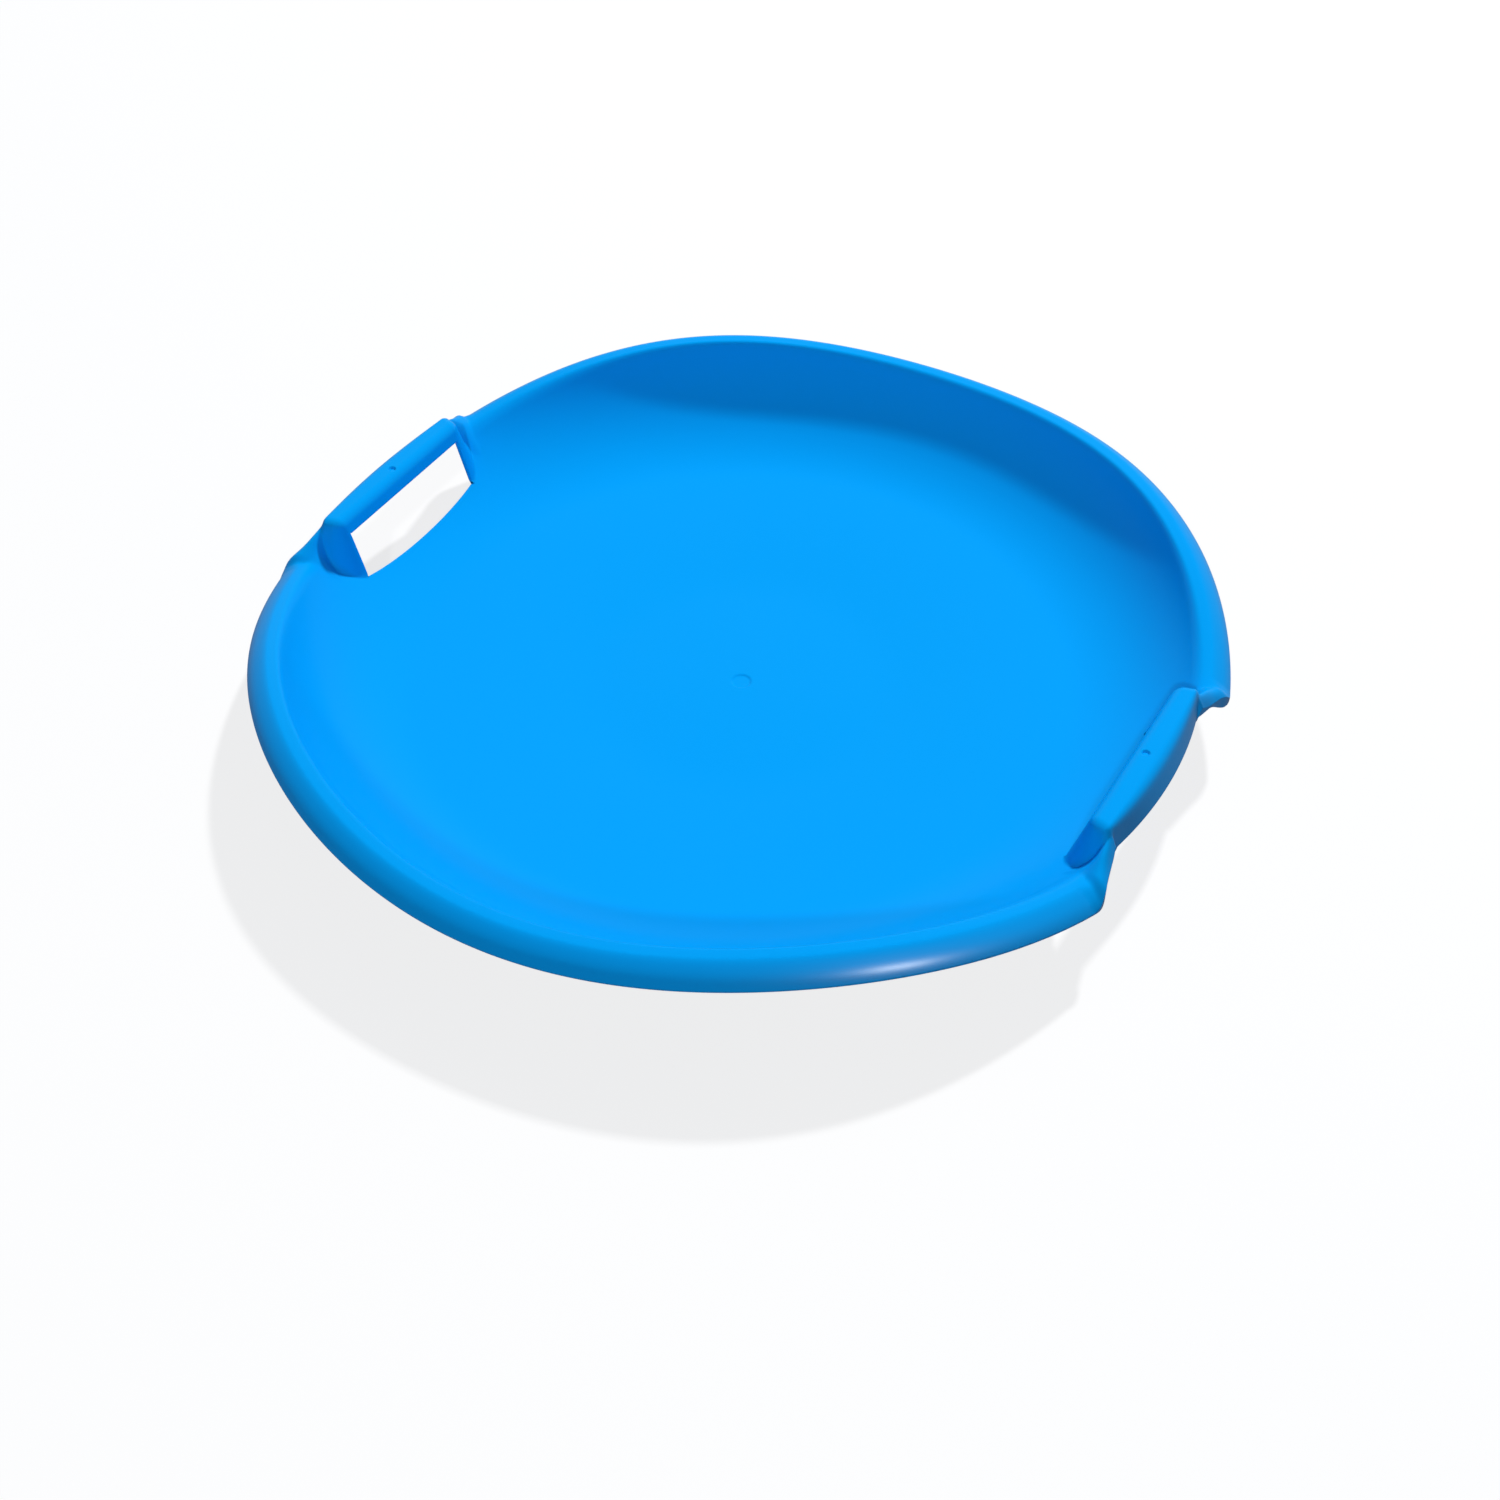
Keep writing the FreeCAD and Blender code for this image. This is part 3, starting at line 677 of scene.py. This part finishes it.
def table_top(base):
    """Opal acrylic sheet lit from behind: its own white glow leaves only a faint shadow on it."""
    material, tree, output = new_material("lit_opal_acrylic")
    glow = add_node(tree, "ShaderNodeEmission", {"Color": (1, 1, 1, 1), "Strength": 1.0})
    path = add_node(tree, "ShaderNodeLightPath")
    # White to the camera and dark grey to other rays, so that the sheet throws little light up at the sled
    body = add_node(
        tree,
        "ShaderNodeMix",
        {"data_type": "RGBA", MIX_FIRST: (TABLE_GREY, TABLE_GREY, TABLE_GREY, 1), MIX_SECOND: (*base, 1)},
        {MIX_FACTOR: path.outputs["Is Camera Ray"]},
    )
    surface = add_node(
        tree,
        "ShaderNodeBsdfPrincipled",
        {"IOR": 1.49, "Roughness": 0.3},
        {"Base Color": body.outputs[MIX_RESULT]},
    )
    share = add_node(
        tree, "ShaderNodeMath", {"operation": "MULTIPLY", 1: TABLE_GLOW}, {0: white_share(tree, path)}
    )
    mix = add_node(
        tree,
        "ShaderNodeMixShader",
        {},
        {0: share.outputs[0], 1: surface.outputs["BSDF"], 2: glow.outputs["Emission"]},
    )
    tree.links.new(mix.outputs["Shader"], output.inputs["Surface"])
    return material


def sled_material():
    """The one plastic that every piece is moulded from."""
    existing = bpy.data.materials.get("dyed_polyethylene")
    return existing or polyethylene(bpy.context.scene.sled_colours.moulding)


def place_piece(moulding, name, code, nodes):
    """Put one piece of the moulding in the scene in place of its CAD nodes."""
    mesh = moulding.mesh(name, code)
    piece = bpy.data.objects.new(name, mesh)
    bpy.context.scene.collection.objects.link(piece)
    mesh.materials.append(sled_material())
    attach(piece, "root")
    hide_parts(*nodes)


class SLED_OT_dish(bpy.types.Operator):
    """Build the dish: base, floor and wall"""

    bl_idname = "sled.dish"
    bl_label = "Dish"

    def execute(self, context):
        moulding = Moulding(context.scene.sled_sizes)
        nodes = ["base_disc", "floor_ring", "back_wall", "front_wall", "right_wall", "left_wall"]
        place_piece(moulding, "dish", DISH, nodes)
        return {"FINISHED"}


class SLED_OT_rims(bpy.types.Operator):
    """Build the rolled rim at the back and front"""

    bl_idname = "sled.rims"
    bl_label = "Rims"

    def execute(self, context):
        moulding = Moulding(context.scene.sled_sizes)
        place_piece(moulding, "rim_back", RIM_BACK, ["back_rim"])
        place_piece(moulding, "rim_front", RIM_FRONT, ["front_rim"])
        return {"FINISHED"}


class SLED_OT_grips(bpy.types.Operator):
    """Build the hand grips with their cheeks and the rim ends that run into them"""

    bl_idname = "sled.grips"
    bl_label = "Hand grips"

    def execute(self, context):
        moulding = Moulding(context.scene.sled_sizes)
        for code, side in ((GRIP_RIGHT, "right"), (GRIP_LEFT, "left")):
            nodes = [f"{side}_grip"]
            for end in ("back", "front"):
                nodes += [f"{side}_{end}_cheek", f"{side}_{end}_rim_end"]
            place_piece(moulding, f"hand_grip_{side}", code, nodes)
        return {"FINISHED"}


def aimed(item, place, target):
    """Put a light or camera at a place and turn it to a target."""
    item.location = place
    item.rotation_euler = (Vector(target) - Vector(place)).to_track_quat("-Z", "Y").to_euler()


def studio_light(name, turn, rise, distance, size, power):
    """Square light on the sled: turn and rise in degrees, distance and size in metres, power in watts."""
    data = bpy.data.lights.new(name, "AREA")
    data.shape = "SQUARE"
    data.size = size
    data.energy = power
    light = bpy.data.objects.new(name, data)
    bpy.context.scene.collection.objects.link(light)
    turn, rise = math.radians(turn), math.radians(rise)
    flat = distance * math.cos(rise)
    place = (flat * math.cos(turn), flat * math.sin(turn), distance * math.sin(rise))
    aimed(light, place, LIGHT_TARGET)
    return light


def studio_world(tint):
    """Dim surroundings that light the sled, with a white backdrop where they are seen."""
    world = bpy.data.worlds.new("studio")
    world.use_nodes = True
    tree = world.node_tree
    tree.nodes.clear()
    dim = add_node(tree, "ShaderNodeBackground", {"Color": (*tint, 1), "Strength": 0.1})
    white = add_node(tree, "ShaderNodeBackground", {"Color": (1, 1, 1, 1), "Strength": 1.0})
    path = add_node(tree, "ShaderNodeLightPath")
    mix = add_node(
        tree,
        "ShaderNodeMixShader",
        {},
        {0: white_share(tree, path), 1: dim.outputs["Background"], 2: white.outputs["Background"]},
    )
    add_node(tree, "ShaderNodeOutputWorld", {}, {"Surface": mix.outputs["Shader"]})
    return world


class SLED_OT_stage(bpy.types.Operator):
    """Build the white table, the lights and the camera"""

    bl_idname = "sled.stage"
    bl_label = "Stage"

    def execute(self, context):
        scene = context.scene
        mesh = bpy.data.meshes.new("table")
        sides = ((-1, -1), (1, -1), (1, 1), (-1, 1))
        corners = [(x * TABLE_HALF, y * TABLE_HALF, TABLE_LEVEL) for x, y in sides]
        mesh.from_pydata(corners, [], [(0, 1, 2, 3)])
        mesh.materials.append(table_top(scene.sled_colours.table))
        table = bpy.data.objects.new("table", mesh)
        scene.collection.objects.link(table)

        # Two small lights far off, whose shadows in the dish have sharp edges
        key = studio_light("light_back", turn=94, rise=50, distance=6, size=0.36, power=360)
        fill = studio_light("light_front", turn=289, rise=37.5, distance=6, size=0.29, power=128)
        for light in (key, fill):
            light.visible_glossy = False
        # A light that shows only as a streak on the front rim
        strip = studio_light("light_strip", turn=336, rise=28, distance=1.6, size=0.2, power=26)
        strip.visible_camera = False
        strip.visible_diffuse = False
        receivers = bpy.data.collections.new("strip_receivers")
        receivers.objects.link(bpy.data.objects["rim_front"])
        strip.light_linking.receiver_collection = receivers

        scene.world = studio_world(scene.sled_colours.surroundings)
        scene.view_settings.view_transform = "Standard"

        data = bpy.data.cameras.new("camera")
        data.lens = LENS
        data.sensor_width = SENSOR
        camera = bpy.data.objects.new("camera", data)
        scene.collection.objects.link(camera)
        aimed(camera, CAMERA_PLACE, Vector(CAMERA_PLACE) + Vector(CAMERA_VIEW))
        scene.camera = camera
        return {"FINISHED"}


class SLED_PT_panel(bpy.types.Panel):
    """Sizes, colours and build buttons of the sled"""

    bl_idname = "SLED_PT_panel"
    bl_label = "Saucer sled"
    bl_space_type = "VIEW_3D"
    bl_region_type = "UI"
    bl_category = "Sled"

    def draw(self, context):
        for group in (context.scene.sled_sizes, context.scene.sled_colours):
            column = self.layout.column()
            for key in group.bl_rna.properties.keys():
                if key not in ("name", "rna_type"):
                    column.prop(group, key)
        for operator in OPERATORS:
            self.layout.operator(operator.bl_idname)


OPERATORS = (SLED_OT_dish, SLED_OT_rims, SLED_OT_grips, SLED_OT_stage)
CLASSES = (SledSizes, SledColours, *OPERATORS, SLED_PT_panel)


def register():
    """Add the sled's properties, operators and panel to Blender."""
    for item in CLASSES:
        bpy.utils.register_class(item)
    bpy.types.Scene.sled_sizes = bpy.props.PointerProperty(type=SledSizes)
    bpy.types.Scene.sled_colours = bpy.props.PointerProperty(type=SledColours)


def unregister():
    """Take them away again."""
    del bpy.types.Scene.sled_colours
    del bpy.types.Scene.sled_sizes
    for item in reversed(CLASSES):
        bpy.utils.unregister_class(item)


def main():
    """Build the sled and its stage."""
    register()
    bpy.ops.sled.dish()
    bpy.ops.sled.rims()
    bpy.ops.sled.grips()
    bpy.ops.sled.stage()


if __name__ == "__main__":
    main()
